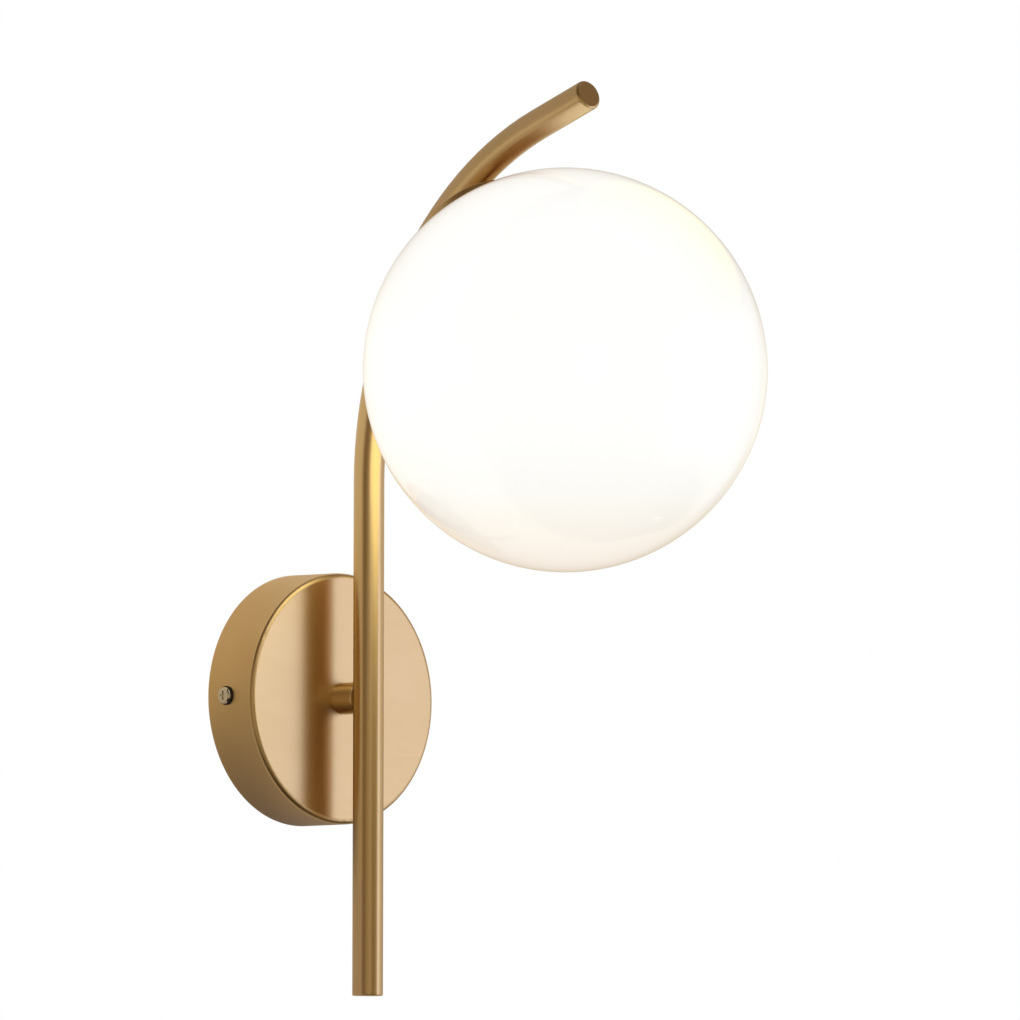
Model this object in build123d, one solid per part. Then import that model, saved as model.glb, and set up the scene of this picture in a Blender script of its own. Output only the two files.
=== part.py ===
from build123d import *
import os
from math import atan, cos, degrees, radians, sin, sqrt, tan

# Globe wall sconce in satin brass: a drum canopy on the wall, a post, a long bent rod and an opal
# glass globe that hangs under the bend. Millimetres. +Z is up, the wall is the plane y = 0 and the
# room is on the -Y side. The origin is the centre of the bracket's screw pattern, on the canopy's axis.

# ---------------------------------------------------------------- canopy
canopy_diameter = 125.0
canopy_depth = 31.3
canopy_wall = 1.2
canopy_edge_radius = 2.5
side_screw_from_wall = 13.2

# ---------------------------------------------------------------- post and rod
post_diameter = 15.8
post_gap = 10.7                 # clear space between the canopy's face and the rod
post_saddle_depth = 2.7         # how far the rod sits into the post and into the boss
post_edge_chamfer = 0.5
rod_diameter = 15.3
rod_wall = 1.5
rod_below_axis = 148.2
rod_straight_above_axis = 106.8
rod_bend_radius = 184.4
rod_bend_angle = 69.8
rod_tip_length = 38.0
rod_foot_rounding = 0.6
rod_tip_rounding = 1.4
rod_plug_length = 8.0
braze_film = 0.1
edge_match = 0.01               # how near an edge lies to the place it is looked for at

# ---------------------------------------------------------------- globe and its fitter
globe_diameter = 200.0
globe_glass = 2.2
globe_to_rod_gap = 9.5
fitter_angle = 48.8             # where along the bend the globe hangs
neck_outer_diameter = 53.0
neck_glass = 2.5
neck_root_fillet = 0.8
gallery_to_neck_gap = 1.3
gallery_wall = 1.2
gallery_rise = 3.0              # top of the gallery cup above the globe's crown
gallery_edge_radius = 1.2
gallery_rim_gap = 0.5
collar_length = 10.0
collar_wall = 1.2
collar_to_glass_gap = 0.5
seal_thickness = 1.2
seal_width = 2.4
moving_gap = 0.3                # rest gap between bodies that move apart
boss_diameter = 16.0
boss_flare_radius = 3.5

# ---------------------------------------------------------------- hollow nipples, nuts and leads
nipple_diameter = 10.0
nipple_bore = 7.5
thread_gap = 0.1
nut_across_flats = 14.0
nut_thickness = 3.0
washer_diameter = 18.0
washer_thickness = 1.0
nipple_inner_stand_out = 2.3    # nipple past the nut, inside the canopy
nipple_end_gap = 0.9            # nipple short of the rod's wall
bush_flange_diameter = 11.0
bush_flange = 1.5
bush_sleeve_length = 6.0
bush_wall = 0.6
wire_hole_diameter = 7.0
lead_diameter = 2.2
lead_offset = 1.7               # each lead's distance from the middle of the bores it shares
lead_turn_radius = 5.0
lead_turn_margin = 0.5
lead_soft_radius = 6.0

# ---------------------------------------------------------------- wall bracket and earth
bracket_thickness = 1.5
bracket_tab_width = 16.0
bracket_tab_height = 19.0
bracket_tab_gap = 0.35
bracket_bend_radius = 1.5
bracket_plate_width = 84.0
bracket_plate_height = 26.0
bracket_lobe_width = 36.0
bracket_corner_radius = 3.0
cable_hole_diameter = 14.0
wall_slot_spacing = 60.0
wall_slot_length = 12.0
wall_slot_width = 5.0
earth_screw_x = 15.5
earth_screw_diameter = 4.0
earth_head_diameter = 7.6
earth_head_height = 2.6
lug_thickness = 0.8
lug_ring_diameter = 8.4
lug_barrel_length = 5.0

# ---------------------------------------------------------------- side screws
side_screw_diameter = 4.0
side_head_diameter = 8.5
side_head_height = 2.6
side_screw_length = 8.0
side_hole_gap = 0.3
recess_width = 1.1
recess_span = 4.6
recess_depth = 1.4

# ---------------------------------------------------------------- terminal block
pole_count = 3
pole_pitch = 11.0
pole_height = 18.0              # along Z, from lead to supply side
pole_barrel_diameter = 8.0
pole_axis_height = 6.0          # pole axis in front of the bracket
block_base_thickness = 5.0
turret_diameter = 5.6
turret_height = 12.5
contact_diameter = 5.6
contact_bore = 4.0
contact_shorter = 2.0
contact_web = 1.4               # solid middle that stops the wires
clamp_screw_diameter = 2.5
clamp_screw_spacing = 9.0
clamp_screw_length = 4.5
clamp_slot = 0.6
fixing_screw_diameter = 2.5
fixing_head_diameter = 3.8
fixing_head_height = 1.8
block_below_plate = 7.0         # block's upper face below the bracket plate's edge
lead_in_terminal = 6.5

# ---------------------------------------------------------------- lampholder, E27
holder_diameter = 39.0
holder_wall = 2.0
holder_cap_height = 22.0
holder_cap_neck_diameter = 18.0
holder_cap_neck_height = 5.0
holder_skirt_length = 33.0
holder_fit_gap = 0.1
insert_floor = 10.0
insert_barrel_length = 18.0
thread_shell_bore = 26.9
thread_shell_wall = 0.4
mouth_lip_bore = 28.6
mouth_lip_height = 3.0
nipple_into_holder = 4.0
centre_contact_diameter = 9.0
centre_contact_leaf = 0.6
centre_contact_stand_off = 1.0
centre_contact_stem = 3.0
holder_terminal_size = 5.0
holder_terminal_spacing = 16.0
holder_terminal_screw = 2.6
holder_terminal_head = 1.2

# ---------------------------------------------------------------- bulb, E27, 45 mm
bulb_diameter = 45.0
bulb_length = 75.0
bulb_glass = 1.0
bulb_equator_to_rim = 10.0      # from the envelope's widest ring up to the housing's rim
bulb_housing_wall = 1.5
bulb_collar_diameter = 29.0
bulb_collar_height = 3.0
bulb_mouth_gap = 0.4
bulb_cap_diameter = 26.2
bulb_cap_length = 16.0
bulb_thread_pitch = 3.6
bulb_thread_depth = 0.8
bulb_thread_form = ((0.2, 0), (0.45, 1), (0.6, 1), (0.85, 0))    # shares of the pitch and of the depth
bulb_cap_wall = 0.5
bulb_insulator_height = 3.3
bulb_tip_diameter = 9.5
bulb_tip_height = 1.2
led_board_thickness = 1.6
led_board_gap = 0.1

# ---------------------------------------------------------------- worked out
canopy_radius = canopy_diameter / 2
canopy_inner_radius = canopy_radius - canopy_wall
canopy_face_y = -canopy_depth
canopy_inside_y = canopy_face_y + canopy_wall
rod_radius = rod_diameter / 2
rod_y = canopy_face_y - post_gap - rod_radius
bend_y = rod_y - rod_bend_radius
bend_z = rod_straight_above_axis
globe_radius = globe_diameter / 2
rod_height = globe_radius + globe_to_rod_gap + rod_radius    # rod's axis above the globe's centre
globe_offset = rod_bend_radius - rod_height
fitter_y = cos(radians(fitter_angle))
fitter_z = sin(radians(fitter_angle))
globe_y = bend_y + globe_offset * fitter_y
globe_z = bend_z + globe_offset * fitter_z

# The fitter's own frame: its origin is the globe's centre and its z axis points up at the rod.
fitter = Plane(origin=(0, globe_y, globe_z), x_dir=(1, 0, 0), z_dir=(0, fitter_y, fitter_z))
gallery_top = globe_radius + gallery_rise
gallery_inside = gallery_top - gallery_wall
holder_top = gallery_inside - nut_thickness
holder_joint = holder_top - holder_cap_height
holder_mouth = holder_joint - holder_skirt_length
insert_top = holder_joint - holder_fit_gap
insert_face = insert_top - insert_floor
contact_face = insert_face - centre_contact_stand_off - centre_contact_leaf
bulb_top = contact_face - moving_gap
bulb_bottom = bulb_top - bulb_length

# The terminal block's frame.
block_top_z = -bracket_plate_height / 2 - block_below_plate
block_middle_z = block_top_z - pole_height / 2
pole_y = -bracket_thickness - pole_axis_height
lead_start_y = pole_y + contact_bore / 2 - lead_diameter / 2 - thread_gap
lobe_bottom_z = block_top_z - pole_height - bracket_corner_radius


def along_y(radius, near_y, far_y, x=0.0, z=0.0):
    """A round bar along Y between two y values."""
    middle = (near_y + far_y) / 2
    bar = Cylinder(radius, abs(far_y - near_y))
    return Pos(x, middle, z) * Rot(90, 0, 0) * bar


def along_x(radius, near_x, far_x, y, z):
    """A round bar along X between two x values."""
    middle = (near_x + far_x) / 2
    bar = Cylinder(radius, abs(far_x - near_x))
    return Pos(middle, y, z) * Rot(0, 90, 0) * bar


def upright(radius, low, high, x=0.0, y=0.0):
    """A round bar along Z between two heights."""
    return Pos(x, y, (low + high) / 2) * Cylinder(radius, high - low)


def tube(outer_radius, inner_radius, low, high):
    """A round tube along Z."""
    return upright(outer_radius, low, high) - upright(inner_radius, low, high)


def turned(points):
    """A solid turned about Z from the (radius, height) corners of its half section."""
    outline = Polyline(*[(r, 0, h) for r, h in points], close=True)
    return revolve(make_face(outline), Axis.Z)


def in_fitter(shape):
    """Moves a shape from the fitter's own frame to its place under the rod."""
    return fitter.location * shape


def hex_nut():
    """A hollow nipple's nut, lying on z = 0."""
    blank = extrude(RegularPolygon(nut_across_flats / 2, 6, major_radius=False), nut_thickness)
    return blank - upright(nipple_diameter / 2 + thread_gap, 0, nut_thickness)


def slot_cut(spacing_x):
    """One wall-screw slot through the bracket, long side along X."""
    outline = SlotOverall(wall_slot_length, wall_slot_width)
    cutter = extrude(outline, bracket_thickness, both=True)
    return Pos(spacing_x, 0, 0) * Rot(90, 0, 0) * cutter


# ---------------------------------------------------------------- rod
def rod_path():
    """Centre line of the rod: straight, one long bend, straight tip."""
    tangent_length = rod_bend_radius * tan(radians(rod_bend_angle / 2))
    tip_reach = tangent_length + rod_tip_length
    corner_z = bend_z + tangent_length
    tip_y = rod_y - tip_reach * sin(radians(rod_bend_angle))
    tip_z = corner_z + tip_reach * cos(radians(rod_bend_angle))
    corners = [(0, rod_y, -rod_below_axis), (0, rod_y, corner_z), (0, tip_y, tip_z)]
    return FilletPolyline(*corners, radius=rod_bend_radius)


def bar_along(path, radius):
    """A round bar swept along a path."""
    return sweep(Plane(origin=path @ 0, z_dir=path % 0) * Circle(radius), path=path)


def round_end(bar, end, rounding):
    """Rounds a bar's outer edge at one end of its centre line."""
    edges = bar.edges().filter_by(GeomType.CIRCLE).filter_by(
        lambda edge: (edge.arc_center - end).length < edge_match)
    return fillet(edges, rounding)


rod_line = rod_path()
rod_outside = round_end(bar_along(rod_line, rod_radius), rod_line @ 0, rod_foot_rounding)
rod_outside = round_end(rod_outside, rod_line @ 1, rod_tip_rounding)
rod_bore_radius = rod_radius - rod_wall
rod_bore = bar_along(rod_line, rod_bore_radius)
back_wire_hole = along_y(wire_hole_diameter / 2, rod_y, rod_y + rod_diameter)
fitter_wire_hole = in_fitter(upright(wire_hole_diameter / 2, rod_height - rod_diameter, rod_height))
rod = rod_outside - rod_bore - back_wire_hole - fitter_wire_hole


def rod_plug(end_point, inward):
    """A round plug that lies flush in one end of the rod."""
    seat = Plane(origin=end_point, z_dir=inward)
    return seat.location * upright(rod_bore_radius, 0, rod_plug_length)


rod_bottom_plug = rod_plug(rod_line @ 0, rod_line % 0)
rod_tip_plug = rod_plug(rod_line @ 1, -(rod_line % 1))

# ---------------------------------------------------------------- canopy and its fixing
drum = along_y(canopy_radius, 0, canopy_face_y)
front_edge = drum.edges().filter_by(GeomType.CIRCLE).sort_by(Axis.Y)[0]
drum = fillet(front_edge, canopy_edge_radius)
hollow = along_y(canopy_inner_radius, 0, canopy_inside_y)
inner_edge = hollow.edges().filter_by(GeomType.CIRCLE).sort_by(Axis.Y)[0]
hollow = fillet(inner_edge, canopy_edge_radius - canopy_wall)
canopy = drum - hollow
canopy -= along_y(nipple_diameter / 2 + thread_gap, canopy_face_y, canopy_inside_y)
for side in (-1, 1):
    hole_radius = side_screw_diameter / 2 + side_hole_gap
    canopy -= along_x(hole_radius, side * canopy_radius / 2, side * canopy_radius,
                      -side_screw_from_wall, 0)

post_end_y = rod_y + rod_radius - post_saddle_depth
post_bar = along_y(post_diameter / 2, canopy_face_y, post_end_y)
post_front_edge = post_bar.edges().filter_by(GeomType.CIRCLE).sort_by(Axis.Y)[0]
spacer_post = chamfer(post_front_edge, post_edge_chamfer)
spacer_post -= along_y(nipple_diameter / 2 + thread_gap, canopy_face_y, post_end_y)
spacer_post -= upright(rod_radius + braze_film, -post_diameter, post_diameter, 0, rod_y)

nut_back_y = canopy_inside_y + washer_thickness + nut_thickness
nipple_inner_y = nut_back_y + nipple_inner_stand_out
nipple_outer_y = rod_y + rod_radius + nipple_end_gap
canopy_nipple = along_y(nipple_diameter / 2, nipple_inner_y, nipple_outer_y)
canopy_nipple -= along_y(nipple_bore / 2, nipple_inner_y, nipple_outer_y)

washer_face_y = canopy_inside_y + washer_thickness
canopy_lock_washer = along_y(washer_diameter / 2, canopy_inside_y, washer_face_y)
canopy_lock_washer -= along_y(nipple_diameter / 2 + thread_gap, canopy_inside_y, washer_face_y)
canopy_nut = Pos(0, nut_back_y, 0) * Rot(90, 0, 0) * hex_nut()

bush_outer = nipple_bore / 2 - thread_gap
bush_inner = bush_outer - bush_wall
bush_end_y = nipple_inner_y + bush_flange
canopy_bush = along_y(bush_flange_diameter / 2, nipple_inner_y, bush_end_y)
canopy_bush += along_y(bush_outer, nipple_inner_y - bush_sleeve_length, nipple_inner_y)
canopy_bush -= along_y(bush_inner, nipple_inner_y - bush_sleeve_length, bush_end_y)


def cross_recess(depth):
    """The cross cut in a screw head, its mouth on z = 0 and its floor below."""
    arm = Box(recess_span, recess_width, depth) + Box(recess_width, recess_span, depth)
    return Pos(0, 0, -depth / 2) * arm


def pan_screw(shank_diameter, head_diameter, head_height, length):
    """A pan-head screw: the head's underside on z = 0, the head above and the shank below."""
    head = upright(head_diameter / 2, 0, head_height)
    crown = head.edges().filter_by(GeomType.CIRCLE).sort_by(Axis.Z)[-1]
    head = fillet(crown, head_height / 2)
    head -= Pos(0, 0, head_height) * cross_recess(recess_depth)
    return head + upright(shank_diameter / 2, -length, 0)


side_screw = pan_screw(side_screw_diameter, side_head_diameter, side_head_height, side_screw_length)
canopy_side_screws = Compound(children=[
    Pos(side * canopy_radius, -side_screw_from_wall, 0) * Rot(0, side * 90, 0) * side_screw
    for side in (-1, 1)])

# ---------------------------------------------------------------- wall bracket
tab_half = bracket_tab_width / 2
tab_outer_x = sqrt((canopy_inner_radius - bracket_tab_gap) ** 2 - tab_half ** 2)


def plate(width, low_z, high_z):
    """A flat piece of the bracket against the wall."""
    middle_z = (low_z + high_z) / 2
    return Pos(0, -bracket_thickness / 2, middle_z) * Box(width, bracket_thickness, high_z - low_z)


strap = plate(2 * tab_outer_x, -tab_half, tab_half)
for side in (-1, 1):
    tab_middle_x = side * (tab_outer_x - bracket_thickness / 2)
    strap += Pos(tab_middle_x, -bracket_tab_height / 2, 0) * Box(
        bracket_thickness, bracket_tab_height, bracket_tab_width)
bend_lines = strap.edges().filter_by(Axis.Z)
inner_bends = bend_lines.filter_by(
    lambda edge: abs(abs(edge.center().X) - tab_outer_x + bracket_thickness) < edge_match
    and abs(edge.center().Y + bracket_thickness) < edge_match)
strap = fillet(inner_bends, bracket_bend_radius)
outer_bends = strap.edges().filter_by(Axis.Z).filter_by(
    lambda edge: abs(abs(edge.center().X) - tab_outer_x) < edge_match and abs(edge.center().Y) < edge_match)
strap = fillet(outer_bends, bracket_bend_radius + bracket_thickness)

middle_plate = plate(bracket_plate_width, -bracket_plate_height / 2, bracket_plate_height / 2)
middle_plate = fillet(middle_plate.edges().filter_by(Axis.Y), bracket_corner_radius)
lobe = plate(bracket_lobe_width, lobe_bottom_z, 0)
lobe = fillet(lobe.edges().filter_by(Axis.Y).sort_by(Axis.Z)[:2], bracket_corner_radius)
wall_bracket = strap + middle_plate + lobe
wall_bracket -= along_y(cable_hole_diameter / 2, -bracket_thickness, 0)
wall_bracket -= along_y(earth_screw_diameter / 2 + thread_gap, -bracket_thickness, 0, earth_screw_x)
for side in (-1, 1):
    wall_bracket -= slot_cut(side * wall_slot_spacing / 2)
    tapped = side_screw_diameter / 2 + thread_gap
    wall_bracket -= along_x(tapped, side * tab_outer_x / 2, side * tab_outer_x, -side_screw_from_wall, 0)
    fixing_x = side * pole_pitch / 2
    fixing_hole = fixing_screw_diameter / 2 + thread_gap
    wall_bracket -= along_y(fixing_hole, -bracket_thickness, 0, fixing_x, block_middle_z)

# ---------------------------------------------------------------- earth connection
lug_face_y = -bracket_thickness - lug_thickness
barrel_radius = lead_diameter / 2 + lug_thickness
barrel_y = -bracket_thickness - barrel_radius
lug_barrel_top = -lug_ring_diameter / 2
lug_barrel_bottom = lug_barrel_top - lug_barrel_length
lug_ring = along_y(lug_ring_diameter / 2, -bracket_thickness, lug_face_y, earth_screw_x)
lug_neck = Pos(earth_screw_x, (-bracket_thickness + lug_face_y) / 2, lug_barrel_top) * Box(
    2 * barrel_radius, lug_thickness, 2 * barrel_radius)
lug_barrel = upright(barrel_radius, lug_barrel_bottom, lug_barrel_top, earth_screw_x, barrel_y)
earth_lug = lug_ring + lug_neck + lug_barrel
earth_lug -= along_y(earth_screw_diameter / 2 + thread_gap, -bracket_thickness, lug_face_y, earth_screw_x)
earth_lug -= upright(lead_diameter / 2 + thread_gap, lug_barrel_bottom, lug_barrel_top - lug_thickness,
                     earth_screw_x, barrel_y)
earth_blank = pan_screw(earth_screw_diameter, earth_head_diameter, earth_head_height,
                        bracket_thickness + lug_thickness)
earth_screw = Pos(earth_screw_x, lug_face_y, 0) * Rot(90, 0, 0) * earth_blank

# ---------------------------------------------------------------- terminal block
pole_places = [(index - (pole_count - 1) / 2) * pole_pitch for index in range(pole_count)]
block_width = pole_count * pole_pitch
block_front_y = -bracket_thickness - block_base_thickness
turret_front_y = -bracket_thickness - turret_height
turret_places = [(x, block_middle_z + side * clamp_screw_spacing / 2)
                 for x in pole_places for side in (-1, 1)]
block_bottom_z = block_top_z - pole_height

terminal_block = Pos(0, (-bracket_thickness + block_front_y) / 2, block_middle_z) * Box(
    block_width, block_base_thickness, pole_height)
for x in pole_places:
    terminal_block += upright(pole_barrel_diameter / 2, block_bottom_z, block_top_z, x, pole_y)
for x, z in turret_places:
    terminal_block += along_y(turret_diameter / 2, pole_y, turret_front_y, x, z)
for x in pole_places:
    terminal_block -= upright(contact_diameter / 2 + thread_gap, block_bottom_z, block_top_z, x, pole_y)
for x, z in turret_places:
    terminal_block -= along_y(clamp_screw_diameter / 2 + 2 * thread_gap, pole_y, turret_front_y, x, z)
fixing_seat_y = block_front_y + fixing_head_height
for side in (-1, 1):
    fixing_x = side * pole_pitch / 2
    shank_hole = fixing_screw_diameter / 2 + thread_gap
    head_hole = fixing_head_diameter / 2 + thread_gap
    terminal_block -= along_y(shank_hole, -bracket_thickness, fixing_seat_y, fixing_x, block_middle_z)
    terminal_block -= along_y(head_hole, fixing_seat_y, turret_front_y, fixing_x, block_middle_z)

terminal_tubes = []
for x in pole_places:
    sleeve = upright(contact_diameter / 2, block_bottom_z + contact_shorter / 2,
                     block_top_z - contact_shorter / 2, x, pole_y)
    sleeve -= upright(contact_bore / 2, block_middle_z + contact_web / 2, block_top_z, x, pole_y)
    sleeve -= upright(contact_bore / 2, block_bottom_z, block_middle_z - contact_web / 2, x, pole_y)
    for side in (-1, 1):
        z = block_middle_z + side * clamp_screw_spacing / 2
        sleeve -= along_y(clamp_screw_diameter / 2 + thread_gap, pole_y, turret_front_y, x, z)
    terminal_tubes.append(sleeve)
terminal_contacts = Compound(children=terminal_tubes)

closed_tip_y = lead_start_y - lead_diameter / 2 - thread_gap
open_tip_y = pole_y - contact_bore / 2
clamp_screws = []
for x, z in turret_places:
    clamp_tip_y = closed_tip_y if z > block_middle_z else open_tip_y
    clamp_head_y = clamp_tip_y - clamp_screw_length
    grub = along_y(clamp_screw_diameter / 2, clamp_tip_y, clamp_head_y, x, z)
    driver_slot = Pos(x, clamp_head_y, z) * Box(clamp_screw_diameter, 2 * clamp_slot, clamp_slot)
    clamp_screws.append(grub - driver_slot)
terminal_clamp_screws = Compound(children=clamp_screws)

fixing_screws = []
for side in (-1, 1):
    fixing_x = side * pole_pitch / 2
    fixing_head_y = fixing_seat_y - fixing_head_height
    head = along_y(fixing_head_diameter / 2, fixing_seat_y, fixing_head_y, fixing_x, block_middle_z)
    shank = along_y(fixing_screw_diameter / 2, 0, fixing_seat_y, fixing_x, block_middle_z)
    driver_slot = Pos(fixing_x, fixing_head_y, block_middle_z) * Box(
        fixing_head_diameter, 2 * clamp_slot, clamp_slot)
    fixing_screws.append(head + shank - driver_slot)
terminal_fixing_screws = Compound(children=fixing_screws)

# ---------------------------------------------------------------- fitter boss, nipple and gallery
boss_radius = boss_diameter / 2
boss_top = rod_height - rod_radius + post_saddle_depth
foot_radius = boss_radius + boss_flare_radius
boss_outline = Polyline((foot_radius, 0, gallery_top), (0, 0, gallery_top), (0, 0, boss_top),
                        (boss_radius, 0, boss_top), (boss_radius, 0, gallery_top + boss_flare_radius))
flare_middle = Vector(foot_radius - boss_flare_radius * cos(radians(45)), 0,
                      gallery_top + boss_flare_radius - boss_flare_radius * sin(radians(45)))
flare = ThreePointArc((boss_radius, 0, gallery_top + boss_flare_radius), flare_middle,
                      (foot_radius, 0, gallery_top))
boss_blank = revolve(make_face([boss_outline, flare]), Axis.Z)
boss_bore = upright(nipple_diameter / 2 + thread_gap, gallery_top, rod_height)
fitter_boss = in_fitter(boss_blank - boss_bore) - bar_along(rod_line, rod_radius + braze_film)

fitter_nipple_top = rod_height - rod_radius - nipple_end_gap
fitter_nipple_bottom = holder_top - nipple_into_holder
fitter_nipple = in_fitter(tube(nipple_diameter / 2, nipple_bore / 2, fitter_nipple_bottom, fitter_nipple_top))
fitter_nut = in_fitter(Pos(0, 0, holder_top) * hex_nut())

neck_outer_radius = neck_outer_diameter / 2
gallery_inner_radius = neck_outer_radius + gallery_to_neck_gap
gallery_radius = gallery_inner_radius + gallery_wall
gallery_rim = sqrt(globe_radius ** 2 - gallery_inner_radius ** 2) + gallery_rim_gap
cup = upright(gallery_radius, gallery_rim, gallery_top)
cup = fillet(cup.edges().filter_by(GeomType.CIRCLE).sort_by(Axis.Z)[-1], gallery_edge_radius)
cup -= upright(gallery_inner_radius, gallery_rim, gallery_inside)
cup -= upright(nipple_diameter / 2 + thread_gap, gallery_inside, gallery_top)
gallery_cap = in_fitter(cup)

neck_inner_radius = neck_outer_radius - neck_glass
collar_radius = neck_inner_radius - collar_to_glass_gap
gallery_thread_ring = in_fitter(
    tube(collar_radius, collar_radius - collar_wall, gallery_inside - collar_length, gallery_inside))

seal_top = gallery_inside - moving_gap
seal_bottom = seal_top - seal_thickness
seal_inner_radius = collar_radius + 2 * moving_gap
globe_seal = in_fitter(tube(seal_inner_radius + seal_width, seal_inner_radius, seal_bottom, seal_top))

# ---------------------------------------------------------------- globe
neck_top = seal_bottom - moving_gap
globe_blank = Sphere(globe_radius) + upright(neck_outer_radius, 0, neck_top)
neck_root = globe_blank.edges().filter_by(GeomType.CIRCLE).sort_by(Axis.Z)[-2]
globe_blank = fillet(neck_root, neck_root_fillet)
globe = in_fitter(globe_blank - Sphere(globe_radius - globe_glass) - upright(neck_inner_radius, 0, neck_top))

# ---------------------------------------------------------------- lampholder
holder_radius = holder_diameter / 2
holder_inner_radius = holder_radius - holder_wall
cap_neck_radius = holder_cap_neck_diameter / 2
nipple_hole = nipple_diameter / 2 + thread_gap
cap_shoulder = holder_top - holder_cap_neck_height
dome_drop = holder_radius - cap_neck_radius
cap_outline = [
    (nipple_hole, holder_top),
    (cap_neck_radius, holder_top),
    (cap_neck_radius, cap_shoulder),
    (holder_radius, cap_shoulder - dome_drop / 2),
    (holder_radius, holder_joint),
    (holder_inner_radius, holder_joint),
    (holder_inner_radius, cap_shoulder - dome_drop / 2 - holder_wall / 2),
    (cap_neck_radius - holder_wall / 2, cap_shoulder - holder_wall),
    (nipple_hole, cap_shoulder - holder_wall),
]
lampholder_cap = in_fitter(turned(cap_outline))

lip_radius = mouth_lip_bore / 2
lampholder_skirt = in_fitter(
    tube(holder_radius, holder_inner_radius, holder_mouth, holder_joint)
    + tube(holder_inner_radius, lip_radius, holder_mouth, holder_mouth + mouth_lip_height))

insert_radius = holder_inner_radius - holder_fit_gap
shell_bore_radius = thread_shell_bore / 2
shell_outer_radius = shell_bore_radius + thread_shell_wall
insert_bottom = insert_face - insert_barrel_length
stem_hole = centre_contact_stem / 2 + holder_fit_gap
lampholder_insert = in_fitter(
    tube(insert_radius, stem_hole, insert_face, insert_top)
    + tube(insert_radius, shell_outer_radius + holder_fit_gap, insert_bottom, insert_face))
lampholder_thread_shell = in_fitter(
    tube(shell_outer_radius, shell_bore_radius, insert_bottom, insert_face))

leaf_top = contact_face + centre_contact_leaf
lampholder_centre_contact = in_fitter(
    upright(centre_contact_diameter / 2, contact_face, leaf_top)
    + upright(centre_contact_stem / 2, leaf_top, insert_top))

terminal_top = insert_top + holder_terminal_size
terminal_middle = insert_top + holder_terminal_size / 2
lead_end = terminal_middle + holder_terminal_screw / 2 + thread_gap
terminal_parts = []
terminal_screw_parts = []
for side in (-1, 1):
    x = side * holder_terminal_spacing / 2
    half_size = holder_terminal_size / 2
    screw_radius = holder_terminal_screw / 2
    head_radius = screw_radius + holder_terminal_head / 2
    clamp = Pos(x, 0, terminal_middle) * Box(
        holder_terminal_size, holder_terminal_size, holder_terminal_size)
    clamp -= along_y(screw_radius + thread_gap, -half_size, half_size, x, terminal_middle)
    clamp -= upright(lead_diameter / 2 + thread_gap, lead_end, terminal_top, x)
    terminal_parts.append(clamp)
    screw = along_y(screw_radius, -half_size, half_size, x, terminal_middle)
    screw += along_y(head_radius, -half_size - holder_terminal_head, -half_size, x, terminal_middle)
    terminal_screw_parts.append(screw)
lampholder_terminals = in_fitter(Compound(children=terminal_parts))
lampholder_terminal_screws = in_fitter(Compound(children=terminal_screw_parts))

# ---------------------------------------------------------------- bulb
bulb_radius = bulb_diameter / 2
equator = bulb_bottom + bulb_radius
bulb_rim = equator + bulb_equator_to_rim
bulb_rim_radius = sqrt(bulb_radius ** 2 - bulb_equator_to_rim ** 2)
envelope = Pos(0, 0, equator) * (Sphere(bulb_radius) - Sphere(bulb_radius - bulb_glass))
keep_below_rim = upright(bulb_diameter, bulb_bottom - bulb_radius, bulb_rim)
bulb_envelope = in_fitter(envelope & keep_below_rim)

tip_bottom = bulb_top - bulb_tip_height
insulator_bottom = tip_bottom - bulb_insulator_height
cap_bottom = insulator_bottom - bulb_cap_length
collar_top = holder_mouth - bulb_mouth_gap
collar_radius_bulb = bulb_collar_diameter / 2
cap_radius = bulb_cap_diameter / 2
cap_inner_radius = cap_radius - bulb_thread_depth - bulb_cap_wall
bulb_tip_contact = in_fitter(upright(bulb_tip_diameter / 2, tip_bottom, bulb_top))
bulb_insulator = in_fitter(turned([
    (0, tip_bottom), (bulb_tip_diameter / 2, tip_bottom), (cap_radius - bulb_thread_depth, insulator_bottom),
    (0, insulator_bottom)]))

thread_count = int((insulator_bottom - collar_top) / bulb_thread_pitch)
thread_root = cap_radius - bulb_thread_depth
thread_outline = [(cap_inner_radius, collar_top), (thread_root, collar_top)]
for turn in range(thread_count):
    start = collar_top + turn * bulb_thread_pitch
    thread_outline += [(thread_root + depth * bulb_thread_depth, start + share * bulb_thread_pitch)
                       for share, depth in bulb_thread_form]
thread_outline += [(thread_root, insulator_bottom), (cap_inner_radius, insulator_bottom)]
bulb_screw_shell = in_fitter(turned(thread_outline))

collar_bottom = collar_top - bulb_collar_height
housing_outline = [
    (0, collar_top),
    (collar_radius_bulb, collar_top),
    (collar_radius_bulb, collar_bottom),
    (bulb_rim_radius, bulb_rim),
    (bulb_rim_radius - bulb_housing_wall, bulb_rim),
    (bulb_rim_radius - bulb_housing_wall, bulb_rim + led_board_thickness),
    (collar_radius_bulb - bulb_housing_wall, collar_bottom),
    (0, collar_bottom),
]
bulb_housing = in_fitter(turned(housing_outline))
bulb_led_board = in_fitter(
    upright(bulb_rim_radius - bulb_housing_wall - led_board_gap, bulb_rim, bulb_rim + led_board_thickness))


# ---------------------------------------------------------------- leads
def fitter_point(x, height):
    """A point of the fitter's frame, in the part's frame."""
    return (x, globe_y + height * fitter_y, globe_z + height * fitter_z)


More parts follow.
